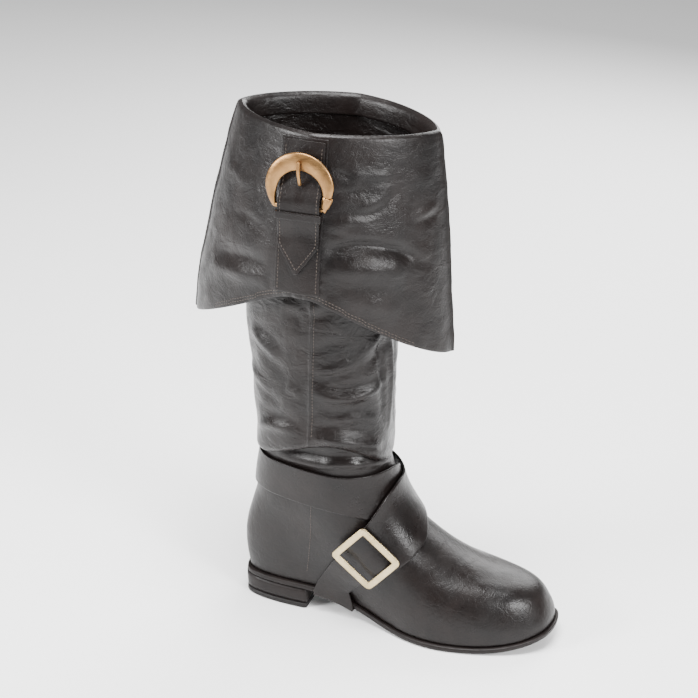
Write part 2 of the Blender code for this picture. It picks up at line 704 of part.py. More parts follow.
def cleared(grid, trees, axis):
    """The grid with each point moved out until no face between points dips into the trees."""
    grid = np.array(grid)
    for _ in range(CLEAR_PASSES):
        push = np.zeros(grid.shape[:2])
        for i in range(grid.shape[0] - 1):
            for j in range(grid.shape[1] - 1):
                for a, b in CELL_SAMPLES:
                    low = grid[i, j] * (1 - b) + grid[i, j + 1] * b
                    high = grid[i + 1, j] * (1 - b) + grid[i + 1, j + 1] * b
                    point = low * (1 - a) + high * a
                    out = point - axis
                    out[2] = 0.0
                    out = out / np.linalg.norm(out)
                    met, _ = meet(trees, point + out * HEEL_LENGTH, -out)
                    if met is None:
                        continue
                    short = CLEARANCE * 1.8 - float(np.dot(point - met, out))
                    if short > 0:
                        cells = push[i:i + 2, j:j + 2]
                        push[i:i + 2, j:j + 2] = np.maximum(cells, short)
        for i, j in np.argwhere(push > 0):
            out = grid[i, j] - axis
            out[2] = 0.0
            grid[i, j] += out / np.linalg.norm(out) * push[i, j]
    return grid


ankle_axis = np.array((along(ANKLE_AXIS), 0.0, 0.0))


def under_arch(side):
    """Rows of a strap that wrap the sole's edge and run to the middle of the arch."""
    xs = np.linspace(along(ARCH_REAR), along(ARCH_FRONT), STRAP_COLUMNS_ACROSS)
    sole = surface(outsole)
    edge, rows = [], []
    for x in xs:
        level = sole_bottom(x) + SOLE_THICKNESS / 2
        met, _ = meet(sole, (x, side * BALL_WIDTH, level), (0, -side, 0))
        edge.append(met[1] + side * NESTED_GAP)
    for rise in (SOLE_THICKNESS, SOLE_THICKNESS / 2, 0.0):
        rows.append([(x, y, sole_bottom(x) + rise) for x, y in zip(xs, edge)])
    for share in (0.93, 0.6, 0.3, 0.0):
        row = []
        for x, y in zip(xs, edge):
            inward = side * FLAT_GAP + (y - side * FLAT_GAP) * share
            met, _ = meet(sole, (x, inward, -HEEL_HEIGHT), (0, 0, 1))
            row.append((x, inward, met[2] - NESTED_GAP))
        rows.append(row)
    return rows


def places_between(first, last, steps):
    """Row numbers from first to last."""
    return [first + (last - first) * k / steps for k in range(steps + 1)]


plain_places = places_between(0, len(PLAIN_STRAP) - 1, PLAIN_STRAP_STEPS)
plain_rows = [row_at(STRAP_COLUMNS, PLAIN_STRAP, place) for place in plain_places]
foot_tree = surface(foot_upper)
inner_arch = under_arch(1)[::-1]
plain_grid = cleared([inner_arch[-1], *laid(plain_rows, foot_tree)], foot_tree, ankle_axis)
plain_grid = np.array([*inner_arch[:-1], *plain_grid])
strap_out = plain_grid - plain_grid.mean(axis=(0, 1))
strap_plain = strip("strap_plain", LEATHER_STRAP, plain_grid, STRAP_THICKNESS, strap_out)

buckled_places = places_between(0, len(BUCKLED_STRAP) - 1, BUCKLED_STRAP_STEPS)
buckled_rows = [row_at(STRAP_COLUMNS, BUCKLED_STRAP, place) for place in buckled_places]
plain_tree = surface(strap_plain)
outer_arch = under_arch(-1)
buckled_grid = [*laid(buckled_rows, foot_tree, plain_tree), outer_arch[0]]
buckled_grid = cleared(buckled_grid, foot_tree + plain_tree, ankle_axis)


def row_middle(grid, place):
    """The middle of a strap at a row number between its rows."""
    index = min(int(place), len(grid) - 2)
    t = place - index
    middle = STRAP_COLUMNS_ACROSS // 2
    return grid[index][middle] * (1 - t) + grid[index + 1][middle] * t


def frame_at(grid, place):
    """Directions at a row of a strap: along it, across it and out of it."""
    index = int(place)
    ahead = row_middle(grid, place + 2.0) - row_middle(grid, place - 2.0)
    out = np.cross(ahead, grid[index][-1] - grid[index][0])
    out = out / np.linalg.norm(out)
    if np.dot(out, row_middle(grid, place) - ankle_axis) < 0:
        out = -out
    ahead = ahead / np.linalg.norm(ahead)
    across = np.cross(ahead, out)
    return ahead, across, out


# The strap rises over the buckle's hidden bar, which lies square across it on the boot
bar_row = BUCKLE_ROW * (len(buckled_places) - 1) / (len(BUCKLED_STRAP) - 1)
bar_centre = row_middle(buckled_grid, bar_row)
bar_bump = 2 * BUCKLE_BAR_RADIUS + 2 * CLEARANCE
ahead, across, out = frame_at(buckled_grid, bar_row)
for row in buckled_grid:
    for point in row:
        off = point - bar_centre
        if np.linalg.norm(off) < BUCKLE_WIDTH:
            distance = abs(float(np.dot(off, ahead)))
            point += out * bar_bump * (1 - smooth(BUCKLE_BUMP_FLAT, BUCKLE_BUMP_REACH, distance))
buckled_all = np.array([*buckled_grid, *outer_arch[1:]])
strap_out = buckled_all - buckled_all.mean(axis=(0, 1))
strap_buckled = strip("strap_buckled", LEATHER_STRAP, buckled_all, STRAP_THICKNESS, strap_out)


# Plain rectangular buckle on the buckled strap, and its bar under the strap's rise


def loop_band(name, look, outer, inner, low, high, centre, axes):
    """A flat ring between two outlines in a plane given by two axes and its normal."""
    first, second, out = axes
    loops = []
    for (a, b), (c, d) in zip(inner, outer):
        inside = centre + first * a + second * b
        outside = centre + first * c + second * d
        loops.append([inside + out * low, inside + out * high, outside + out * high, outside + out * low])
    return solid(name, look, loops)


def rounded_box(half_first, half_second, radius, steps=4):
    """A rectangle's outline with round corners."""
    outline = []
    for corner, (u, v) in enumerate(((1, 1), (-1, 1), (-1, -1), (1, -1))):
        for k in range(steps + 1):
            angle = math.pi / 2 * (corner + k / steps)
            a = u * (half_first - radius) + radius * math.cos(angle)
            b = v * (half_second - radius) + radius * math.sin(angle)
            outline.append((a, b))
    return outline


outer_line = rounded_box(BUCKLE_LENGTH / 2, BUCKLE_WIDTH / 2, BUCKLE_CORNER)
inner_line = rounded_box(BUCKLE_LENGTH / 2 - BUCKLE_BAND, BUCKLE_WIDTH / 2 - BUCKLE_BAND, BUCKLE_CORNER / 5)
worn = surface(foot_upper, strap_buckled, strap_plain)
stand_off = -BUCKLE_LENGTH
for inset in (0.0, 0.25, 0.5, 0.75, 1.0):
    line = np.array(outer_line) * (1 - inset) + np.array(inner_line) * inset
    for start, end in zip(line, np.roll(line, -1, axis=0)):
        for share in (0.0, 0.2, 0.4, 0.6, 0.8):
            a, b = start * (1 - share) + end * share
            spot = bar_centre + ahead * a + across * b
            met, _ = meet(worn, spot + out * BUCKLE_LENGTH, -out)
            if met is not None:
                stand_off = max(stand_off, float(np.dot(met - bar_centre, out)))
for vertex in strap_buckled.data.vertices:
    off = np.array(vertex.co) - bar_centre
    a, b = BUCKLE_LENGTH / 2 - abs(np.dot(off, ahead)), BUCKLE_WIDTH / 2 - abs(np.dot(off, across))
    if 0 < min(a, b) < BUCKLE_BAND:
        stand_off = max(stand_off, float(np.dot(off, out)))
frame_low = stand_off + CLEARANCE
frame_axes = (ahead, across, out)
loop_band("buckle_frame", PALE_GOLD, outer_line, inner_line, frame_low, frame_low + BUCKLE_THICKNESS,
          bar_centre, frame_axes)


def rod(name, look, path, radius, sides=10):
    """A round rod along a path, with flat ends."""
    path = [np.array(p, dtype=float) for p in path]
    loops = []
    for i, point in enumerate(path):
        heading = path[min(i + 1, len(path) - 1)] - path[max(i - 1, 0)]
        heading = heading / np.linalg.norm(heading)
        side = np.cross(heading, out_hint(heading))
        side = side / np.linalg.norm(side)
        up = np.cross(side, heading)
        turns = [2 * math.pi * k / sides for k in range(sides)]
        loops.append([point + side * radius * math.cos(t) + up * radius * math.sin(t) for t in turns])
    return solid(name, look, loops, [(k, sides - 1 - k) for k in range(sides // 2)])


def out_hint(heading):
    """An upright that isn't in line with a heading."""
    return np.array((0.0, 0.0, 1.0)) if abs(heading[2]) < 0.9 else np.array((1.0, 0.0, 0.0))


bar_path = []
for reach in np.linspace(-BUCKLE_BAR_REACH, BUCKLE_BAR_REACH, STRAP_COLUMNS_ACROSS):
    spot = bar_centre + across * reach
    met, _ = meet(surface(foot_upper, strap_plain), spot + out * BUCKLE_LENGTH, -out)
    bar_path.append(met + out * (BUCKLE_BAR_RADIUS + CLEARANCE * 1.5))
rod("buckle_bar", PALE_GOLD, bar_path, BUCKLE_BAR_RADIUS)

# Strap down the outer side of the cuff, its loose end, keeper, crescent buckle and prong

rim_height = fold_height() + LEG_SECTIONS[-1][1] * LEG_RISE
crescent_height = rim_height - CRESCENT_DROP
cuff_tree = surface(cuff)


def across_at(trees, x_from, x_to, z, level):
    """A row of points across a strap at a height, a level off the face that the trees hold."""
    row = []
    for x in np.linspace(x_from, x_to, STRAP_COLUMNS_ACROSS):
        met, _ = meet(trees, (x, -BALL_WIDTH * 2, z), (0, 1, 0))
        row.append(met - np.array((0.0, level, 0.0)))
    return row


def taut_rows(rows):
    """Rows pulled taut, never further in than they were."""
    grid = np.array(rows)
    for _ in range(TAUT_PASSES):
        padded = np.pad(grid[:, :, 1], 1, mode="edge")
        around = (padded[:-2, 1:-1] + padded[2:, 1:-1] + padded[1:-1, :-2] + padded[1:-1, 2:]) / 4
        grid[:, :, 1] = np.minimum(grid[:, :, 1], around)
    return grid


half_strap = CUFF_STRAP_WIDTH / 2
strap_left, strap_right = CUFF_STRAP_X - half_strap, CUFF_STRAP_X + half_strap
hem_height = rim_height - CUFF_DROP_OUTER
base_levels = np.linspace(rim_height - CUFF_WALL, hem_height + CUFF_WALL, CUFF_STRAP_STEPS * 2 // 3 + 1)
base_rows = [across_at(cuff_tree, strap_left, strap_right, z, CLEARANCE * 2) for z in base_levels]
base_rows = taut_rows(base_rows)
outwards = (0.0, -1.0, 0.0)
strap_base = strip("cuff_strap_base", LEATHER_STRAP, base_rows, CUFF_STRAP_THICKNESS, outwards)
base_tree = surface(strap_base)

bar_place = crescent_height - CRESCENT_CHORD
eye_open = crescent_height + CRESCENT_BAR
bar_seat_y = min(
    meet(base_tree, (x, -BALL_WIDTH * 2, bar_place + CRESCENT_BAR / 2), (0, 1, 0))[0][1]
    for x in np.linspace(strap_left + CLEARANCE, strap_right - CLEARANCE, 9)
) - CLEARANCE
over_bar_y = bar_seat_y - CRESCENT_BAR_THICKNESS - 3 * CLEARANCE


def over_bar(z):
    """How far the loose end has risen to pass over the bar, 0 to 1."""
    rise = 1 - smooth(bar_place + 2 * CRESCENT_BAR, eye_open, z)
    fall = smooth(bar_place - 4 * KEEPER_HEIGHT, bar_place - KEEPER_HEIGHT, z)
    return rise * fall


end_top = rim_height - CUFF_WALL * 2
half_end = CUFF_STRAP_END_WIDTH / 2
end_left, end_right = CUFF_STRAP_X - half_end, CUFF_STRAP_X + half_end
end_low = rim_height - CUFF_STRAP_DROP
point_start = end_low + CUFF_STRAP_POINT
end_levels = [*np.linspace(end_top, point_start, CUFF_STRAP_STEPS), point_start - CUFF_STRAP_POINT / 3,
              point_start - CUFF_STRAP_POINT * 2 / 3, end_low]
end_rows = []
for z in end_levels:
    taper = smooth_line(end_low - CLEARANCE * 4, point_start, z)
    inset = half_end * (1 - taper)
    row = across_at(base_tree, end_left + inset, end_right - inset, z, CLEARANCE)
    for point in row:
        point[1] += min(over_bar_y - point[1], 0.0) * over_bar(z)
    end_rows.append(row)
end_rows = taut_rows(end_rows)
strap_end = strip("cuff_strap_end", LEATHER_STRAP, end_rows, CUFF_STRAP_THICKNESS, outwards)

# The crescent stands in a plane that leans with the cuff, over the strap at its top and under the
# strap at its bar
loose = surface(strap_end)
bar_seat = np.array((CUFF_STRAP_X, bar_seat_y, bar_place + CRESCENT_BAR / 2))
lean = 0.0
for turn in range(2, CRESCENT_COLUMNS * 5 // 4):
    for radius in (CRESCENT_HORN, CRESCENT_EYE_RADIUS, CRESCENT_RADIUS):
        angle = math.pi * turn / (CRESCENT_COLUMNS * 5 // 4 + 1)
        x = CUFF_STRAP_X + radius * math.cos(angle)
        z = crescent_height + radius * math.sin(angle)
        met, _ = meet(loose, (x, -BALL_WIDTH * 2, z), (0, 1, 0))
        if met is not None:
            lean = max(lean, (bar_seat[1] - met[1] + CLEARANCE) / (z - bar_seat[2]))
crescent_up = np.array((0.0, -lean, 1.0)) / math.hypot(1.0, lean)
crescent_side = np.array((1.0, 0.0, 0.0))
crescent_out = np.cross(crescent_side, crescent_up)
if crescent_out[1] > 0:
    crescent_out = -crescent_out
crescent_centre = bar_seat + crescent_up * (CRESCENT_CHORD - CRESCENT_BAR / 2)


def crescent_reach(angle):
    """Distances from the crescent's centre to its eye and to its outer edge, at an angle."""
    c, s = math.cos(angle), math.sin(angle)
    outer = CRESCENT_RADIUS if s >= 0 else min(CRESCENT_RADIUS, CRESCENT_CHORD / -s)
    drop = CRESCENT_EYE_RADIUS + CRESCENT_HORN - CRESCENT_RADIUS
    round_top = -drop * s + math.sqrt(max(CRESCENT_EYE_RADIUS ** 2 - (drop * c) ** 2, 0.0))
    if round_top * s < -drop:
        side = CRESCENT_EYE_RADIUS / max(abs(c), 1e-6)
        floor = (CRESCENT_CHORD - CRESCENT_BAR) / max(-s, 1e-6)
        return min(side, floor), outer
    return round_top, outer


def crescent_loops():
    """Sections of the crescent: flat behind, domed in front, thinner at its bar."""
    corner = math.atan2(CRESCENT_CHORD - CRESCENT_BAR, CRESCENT_EYE_RADIUS)
    tip = math.asin(CRESCENT_CHORD / CRESCENT_RADIUS)
    turns = [2 * math.pi * k / CRESCENT_COLUMNS for k in range(CRESCENT_COLUMNS)]
    angles = sorted(turns + [-corner, math.pi + corner, -tip, math.pi + tip])
    loops = []
    for angle in angles:
        inner, outer = crescent_reach(angle)
        aim = crescent_side * math.cos(angle) + crescent_up * math.sin(angle)
        flat = smooth(-CRESCENT_CHORD, -CRESCENT_CHORD / 2, CRESCENT_RADIUS * math.sin(angle))
        thick = CRESCENT_BAR_THICKNESS + (CRESCENT_THICKNESS - CRESCENT_BAR_THICKNESS) * flat
        section = []
        profile = ((0.0, 0.0), (0.0, 0.55), (0.28, 1.0), (0.72, 1.0), (1.0, 0.55), (1.0, 0.0))
        for share, level in profile:
            radius = inner + (outer - inner) * share
            section.append(crescent_centre + aim * radius + crescent_out * thick * level)
        loops.append(section)
    return loops


crescent = solid("crescent_buckle", ANTIQUE_GOLD, crescent_loops())

# Prong: out of the strap's hole and up over the crescent's upper arc
prong_foot, _ = meet(loose, (CUFF_STRAP_X, -BALL_WIDTH * 2, crescent_height + CRESCENT_BAR / 2), (0, 1, 0))
prong_foot = prong_foot - np.array((0.0, PRONG_RADIUS + CLEARANCE, 0.0))
prong_level = CRESCENT_THICKNESS + PRONG_RADIUS + CLEARANCE
arc_low = crescent_centre + crescent_up * CRESCENT_HORN + crescent_out * prong_level
prong_tip = arc_low + crescent_up * (PRONG_LENGTH - CRESCENT_HORN + CRESCENT_BAR / 2)
prong_mid = arc_low - crescent_up * CRESCENT_BAR / 2
prong_path = [prong_foot, prong_mid, arc_low + crescent_up * CRESCENT_BAR / 2, prong_tip]
rod("buckle_prong", ANTIQUE_GOLD, prong_path, PRONG_RADIUS, 8)

# Keeper: a loop over the loose end just under the crescent, its legs down to the cuff's strap
keeper_mid = bar_place - CLEARANCE * 2 - KEEPER_HEIGHT / 2


def keeper():
    """A staple of leather round the loose end."""
    rows = []
    for z in (keeper_mid - KEEPER_HEIGHT / 2, keeper_mid + KEEPER_HEIGHT / 2):
        line = []
        xs = np.linspace(end_left + CLEARANCE / 8, end_right - CLEARANCE / 8, STRAP_COLUMNS_ACROSS)
        for x in xs:
            met, _ = meet(loose, (x, -BALL_WIDTH * 2, z), (0, 1, 0))
            line.append(met - np.array((0.0, CLEARANCE * 1.5, 0.0)))
        side = np.array((CLEARANCE * 1.5, 0.0, 0.0))
        deep = np.array((0.0, bar_seat_y - over_bar_y + CUFF_STRAP_THICKNESS, 0.0))
        line = [line[0] - side + deep, line[0] - side, *line[1:-1], line[-1] + side, line[-1] + side + deep]
        aside = np.array((KEEPER_THICKNESS, 0.0, 0.0))
        ahead_of = np.array((0.0, -KEEPER_THICKNESS, 0.0))
        face = [point + ahead_of for point in line[2:-2]]
        outer = [line[0] - aside, line[1] - aside + ahead_of, *face, line[-2] + aside + ahead_of, line[-1] + aside]
        rows.append([*line, *outer[::-1]])
    count = len(rows[0])
    return solid("strap_keeper", LEATHER_STRAP, rows, [(k, count - 1 - k) for k in range(count // 2)])


keeper()

# Zip on the inner side, up the foot and the leg to under the cuff, with its slider and pull

zip_trees = surface(foot_upper, leg_shaft)
zip_top = rim_height - ZIP_TOP_DROP
zip_low = seat_height() + ZIP_BOTTOM_RISE


def zip_row(z, columns=3):
    """A row of points across the zip at a height."""
    row = []
    for k in range(columns):
        x = ZIP_X + ZIP_WIDTH * (k / (columns - 1) - 0.5)
        met, _ = meet(zip_trees, (x, BALL_WIDTH * 2, z), (0, -1, 0))
        row.append(met + np.array((0.0, CLEARANCE * 1.6, 0.0)))
    return row


zip_grid = np.array([zip_row(z) for z in np.linspace(zip_low, zip_top, ZIP_STEPS)])
padded = np.pad(zip_grid[:, :, 1], ((1, 1), (0, 0)), mode="edge")
zip_grid[:, :, 1] = np.max([padded[:-2], padded[1:-1], padded[2:]], axis=0)
for _ in range(CLEAR_PASSES):
    padded = np.pad(zip_grid[:, :, 1], ((1, 1), (0, 0)), mode="edge")
    zip_grid[:, :, 1] = np.maximum(zip_grid[:, :, 1], (padded[:-2] + padded[2:]) / 2)
strip("zip_strip", ZIP_BLACK, zip_grid, ZIP_THICKNESS, (0.0, 1.0, 0.0))


def block(name, look, centre, size, bevel):
    """A small block with eased edges."""
    mesh = bpy.data.meshes.new(name)
    shape = bmesh.new()
    bmesh.ops.create_cube(shape, size=1.0)
    bmesh.ops.scale(shape, vec=size, verts=shape.verts)
    bmesh.ops.bevel(
        shape, geom=shape.edges[:], offset=bevel, segments=1, affect="EDGES", profile=0.5, material=-1
    )
    bmesh.ops.translate(shape, vec=centre, verts=shape.verts)
    shape.to_mesh(mesh)
    shape.free()
    mesh.materials.append(finish(name, look))
    piece = bpy.data.objects.new(name, mesh)
    boot.objects.link(piece)
    return piece


zip_face = zip_grid[-2:, :, 1].max() + ZIP_THICKNESS + CLEARANCE
slider_z = zip_top - SLIDER_LENGTH / 2
slider_y = zip_face + SLIDER_THICKNESS / 2
slider_size = (SLIDER_WIDTH, SLIDER_THICKNESS, SLIDER_LENGTH)
block("zip_slider", ANTIQUE_GOLD, (ZIP_X, slider_y, slider_z), slider_size, SLIDER_EDGE)

# The pull hangs from the slider's face and swings about a line along x
hinge_y = zip_face + SLIDER_THICKNESS + FLAT_GAP + PULL_THICKNESS / 2
pull_middle = (0.0, 0.0, PULL_THICKNESS - PULL_LENGTH / 2)
pull = block("zip_pull", ANTIQUE_GOLD, pull_middle, (PULL_WIDTH, PULL_THICKNESS, PULL_LENGTH), PULL_EDGE)
pull.location = (ZIP_X, hinge_y, slider_z)
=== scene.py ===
"""A tall bucket-top boot for the right foot: its leather, sole, buckles and zip, in metres, +Z up.

The boot stands on its sole with the toe to +X and the inner side of the foot to +Y.
"""

import math

import bmesh
import bpy
import numpy as np
from mathutils import Matrix, Vector, noise
from mathutils.bvhtree import BVHTree
from mathutils.kdtree import KDTree


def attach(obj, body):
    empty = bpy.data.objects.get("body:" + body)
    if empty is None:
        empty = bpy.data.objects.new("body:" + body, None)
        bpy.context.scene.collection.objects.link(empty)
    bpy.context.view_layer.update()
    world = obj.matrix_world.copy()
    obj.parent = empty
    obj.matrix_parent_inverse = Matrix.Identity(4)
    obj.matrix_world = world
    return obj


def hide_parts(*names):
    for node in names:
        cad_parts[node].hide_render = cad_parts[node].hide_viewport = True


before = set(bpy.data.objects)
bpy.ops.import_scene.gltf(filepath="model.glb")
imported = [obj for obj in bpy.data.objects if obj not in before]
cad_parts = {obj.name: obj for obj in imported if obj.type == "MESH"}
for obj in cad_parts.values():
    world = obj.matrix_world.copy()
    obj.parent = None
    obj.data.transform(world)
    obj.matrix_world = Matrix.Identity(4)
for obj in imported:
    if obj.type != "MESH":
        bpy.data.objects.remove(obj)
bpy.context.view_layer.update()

# Camera, pale floor and soft studio light.
# The camera stands in front of the outer side, above the cuff, and looks down along the leg.
CAMERA_PLACE = Vector((0.4414, -1.2832, 0.8637))
CAMERA_AZIMUTH = math.radians(16.66)
CAMERA_ELEVATION = math.radians(24.43)
CAMERA_ROLL = math.radians(1.85)
CAMERA_LENS = 86.6
PALE = (0.96, 0.96, 0.96, 1.0)
LIGHT_AIM = Vector((0.06, 0.0, 0.20))
LIGHTS = (
    ("overhead", (0.05, -0.35, 1.85), 0.9, 78.0),
    ("left_front", (-1.30, -1.05, 0.95), 0.55, 50.0),
    ("right_front", (1.50, -0.85, 0.95), 0.5, 40.0),
    ("behind", (0.35, 1.50, 1.15), 1.2, 44.0),
)


def turned_camera():
    """The camera's matrix from its place, azimuth, elevation and roll."""
    back = Vector((
        math.sin(CAMERA_AZIMUTH) * math.cos(CAMERA_ELEVATION),
        -math.cos(CAMERA_AZIMUTH) * math.cos(CAMERA_ELEVATION),
        math.sin(CAMERA_ELEVATION),
    ))
    right = Vector((math.cos(CAMERA_AZIMUTH), math.sin(CAMERA_AZIMUTH), 0.0))
    up = back.cross(right)
    rolled_right = right * math.cos(CAMERA_ROLL) + up * math.sin(CAMERA_ROLL)
    rolled_up = back.cross(rolled_right)
    turn = Matrix((rolled_right, rolled_up, back)).transposed()
    return Matrix.Translation(CAMERA_PLACE) @ turn.to_4x4()


def link(name, data):
    """A new object in the scene."""
    thing = bpy.data.objects.new(name, data)
    bpy.context.scene.collection.objects.link(thing)
    return thing


camera_data = bpy.data.cameras.new("camera")
camera_data.lens = CAMERA_LENS
camera = link("camera", camera_data)
camera.matrix_world = turned_camera()
bpy.context.scene.camera = camera

for name, place, size, watts in LIGHTS:
    lamp = bpy.data.lights.new(name, "AREA")
    lamp.size = size
    lamp.energy = watts
    lamp_object = link(name, lamp)
    lamp_object.location = place
    lamp_object.rotation_euler = (LIGHT_AIM - Vector(place)).to_track_quat("-Z", "Y").to_euler()

world = bpy.data.worlds.new("studio")
world.use_nodes = True
world.node_tree.nodes["Background"].inputs["Color"].default_value = PALE
world.node_tree.nodes["Background"].inputs["Strength"].default_value = 0.42
bpy.context.scene.world = world


def plain_material(name, colour, roughness):
    """A material of one colour, ready for its surface nodes."""
    material = bpy.data.materials.new(name)
    material.use_nodes = True
    shader = material.node_tree.nodes["Principled BSDF"]
    shader.inputs["Base Color"].default_value = (*colour[:3], 1.0)
    shader.inputs["Roughness"].default_value = roughness
    return material, material.node_tree, shader


floor_shape = bmesh.new()
bmesh.ops.create_grid(floor_shape, x_segments=1, y_segments=1, size=6.0)
floor_mesh = bpy.data.meshes.new("floor")
floor_shape.to_mesh(floor_mesh)
floor_shape.free()
floor = link("floor", floor_mesh)
floor_material, _, _ = plain_material("floor", PALE, 0.7)
floor_mesh.materials.append(floor_material)

# Sole unit: outsole, heel block and top piece, glued in this order from the foot down.
# The dark moulded sole runs under the whole foot. Below it are a low heel of thin pressed layers
# and a black walking piece.
MERGE = 2e-6
HARD_EDGE = math.radians(52)
QUAD_ANGLE = math.radians(70)
FLAT_ANGLE = math.radians(25)
CRISP, FIRM, EASED = 0.9, 0.8, 0.55
SOLE_BROWN = (0.0060, 0.0043, 0.0040)
TOP_PIECE_BLACK = (0.008, 0.007, 0.007)
HEEL_LAYER = 0.0021
LAYER_GROOVE = 0.00022
SCUFF_DEPTH = 0.00016
RUBBER_SHINE = 0.2


def cage_of(node, hardness, joined=QUAD_ANGLE):
    """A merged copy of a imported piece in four-sided faces, its hard edges creased."""
    shape = bmesh.new()
    shape.from_mesh(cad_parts[node].data)
    bmesh.ops.remove_doubles(shape, verts=shape.verts, dist=MERGE)
    bmesh.ops.join_triangles(
        shape, faces=shape.faces, angle_face_threshold=joined, angle_shape_threshold=joined
    )
    crease = shape.edges.layers.float.new("crease_edge")
    for edge in shape.edges:
        if edge.calc_face_angle(0.0) > HARD_EDGE:
            edge[crease] = hardness
    return shape


def smoothed(name, shape, levels):
    """A piece from a cage, subdivided and applied, with its object at the origin."""
    rough = bpy.data.meshes.new(name)
    shape.to_mesh(rough)
    shape.free()
    piece = link(name, rough)
    rounding = piece.modifiers.new("rounding", "SUBSURF")
    rounding.levels = rounding.render_levels = levels
    seen = piece.evaluated_get(bpy.context.evaluated_depsgraph_get())
    fine = bpy.data.meshes.new_from_object(seen)
    piece.modifiers.clear()
    piece.data = fine
    bpy.data.meshes.remove(rough)
    fine.name = name
    fine.materials.clear()
    fine.shade_smooth()
    return piece


def points_of(piece):
    """The piece's points as an array."""
    flat = np.empty(len(piece.data.vertices) * 3, dtype=np.float32)
    piece.data.vertices.foreach_get("co", flat)
    return flat.reshape(-1, 3).astype(float)


def move_points(piece, points):
    """Puts an array of points back on the piece."""
    piece.data.vertices.foreach_set("co", points.astype(np.float32).ravel())
    piece.data.update()


def dress(piece, material, body, slot, *nodes):
    """The piece's material, the body that it rides on and the nodes it stands for; the slot is not used."""
    piece.data.materials.append(material)
    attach(piece, body)
    if nodes:
        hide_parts(*nodes)
    return piece


def add(tree, kind, **settings):
    """A shader node. Each setting is a property of the node or, failing that, the value of a socket."""
    node = tree.nodes.new(kind)
    for key, value in settings.items():
        if hasattr(node, key):
            setattr(node, key, value)
        else:
            node.inputs[key.replace("_", " ")].default_value = value
    return node


def noise_of(tree, place, scale, detail=4.0, rough=0.55, distort=0.0):
    """A noise's value on a place vector."""
    node = add(tree, "ShaderNodeTexNoise", Scale=scale, Detail=detail, Roughness=rough, Distortion=distort)
    tree.links.new(place, node.inputs["Vector"])
    return node.outputs["Fac"]


def ramp_of(tree, value, low, high, low_colour, high_colour):
    """A value turned into a colour between two others."""
    node = tree.nodes.new("ShaderNodeValToRGB")
    node.color_ramp.elements[0].position = low
    node.color_ramp.elements[0].color = (*low_colour, 1.0)
    node.color_ramp.elements[1].position = high
    node.color_ramp.elements[1].color = (*high_colour, 1.0)
    tree.links.new(value, node.inputs["Fac"])
    return node.outputs["Color"]


def range_of(tree, value, low, high, to_low, to_high):
    """A value mapped from one range to another."""
    node = add(tree, "ShaderNodeMapRange")
    for key, number in zip(("From Min", "From Max", "To Min", "To Max"), (low, high, to_low, to_high)):
        node.inputs[key].default_value = number
    tree.links.new(value, node.inputs["Value"])
    return node.outputs["Result"]


def bumped(tree, height, distance, under=None):
    """A bump of a height in metres over another bump."""
    node = add(tree, "ShaderNodeBump", Distance=distance)
    node.inputs["Strength"].default_value = 1.0
    tree.links.new(height, node.inputs["Height"])
    if under is not None:
        tree.links.new(under, node.inputs["Normal"])
    return node.outputs["Normal"]


def object_place(tree, scale=(1.0, 1.0, 1.0)):
    """Object coordinates, stretched."""
    source = tree.nodes.new("ShaderNodeTexCoord")
    mapping = tree.nodes.new("ShaderNodeMapping")
    mapping.inputs["Scale"].default_value = scale
    tree.links.new(source.outputs["Object"], mapping.inputs["Vector"])
    return mapping.outputs["Vector"]


def bands_of(tree, place, direction, width):
    """Even bands across a direction; the texture repeats itself twenty times a unit of its scale."""
    bands = add(tree, "ShaderNodeTexWave", wave_type="BANDS", bands_direction=direction, Scale=1 / width / 20)
    tree.links.new(place, bands.inputs["Vector"])
    return bands


def sole_material(name, colour, layers):
    """Scuffed moulded rubber. Layers draws the thin pressed lifts of a heel."""
    material, tree, shader = plain_material(name, colour, 0.5)
    shader.inputs["Specular IOR Level"].default_value = RUBBER_SHINE
    place = object_place(tree)
    blotch = noise_of(tree, place, 38.0, 5.0)
    lighter = tuple(channel * 1.9 for channel in colour)
    tree.links.new(ramp_of(tree, blotch, 0.35, 0.75, colour, lighter), shader.inputs["Base Color"])
    scuff = noise_of(tree, object_place(tree, (1.0, 1.0, 4.0)), 160.0, 6.0, 0.7)
    tree.links.new(range_of(tree, scuff, 0.3, 0.75, 0.34, 0.62), shader.inputs["Roughness"])
    normal = bumped(tree, scuff, SCUFF_DEPTH)
    if layers:
        wave = bands_of(tree, place, "Z", HEEL_LAYER)
        wave.inputs["Distortion"].default_value = 0.5
        wave.inputs["Detail Scale"].default_value = 30.0
        normal = bumped(tree, wave.outputs["Fac"], LAYER_GROOVE, normal)
    tree.links.new(normal, shader.inputs["Normal"])
    return material


sole_brown = sole_material("sole_rubber", SOLE_BROWN, False)
heel_brown = sole_material("heel_layers", SOLE_BROWN, True)
top_black = sole_material("top_piece_rubber", TOP_PIECE_BLACK, False)
moulded_sole = smoothed("moulded_sole", cage_of("outsole", EASED), 2)
dress(moulded_sole, sole_brown, "boot", "sole", "outsole")
layered_heel = smoothed("layered_heel", cage_of("heel_block", CRISP), 2)
dress(layered_heel, heel_brown, "boot", "sole", "heel_block")
walking_piece = smoothed("walking_piece", cage_of("heel_top_piece", CRISP), 2)
dress(walking_piece, top_black, "boot", "top_piece", "heel_top_piece")

# Insole: a thin padded sock sheet glued over the sole inside the foot.
# Its woven face only shows from above, down the leg.
LINING_BROWN = (0.050, 0.041, 0.036)


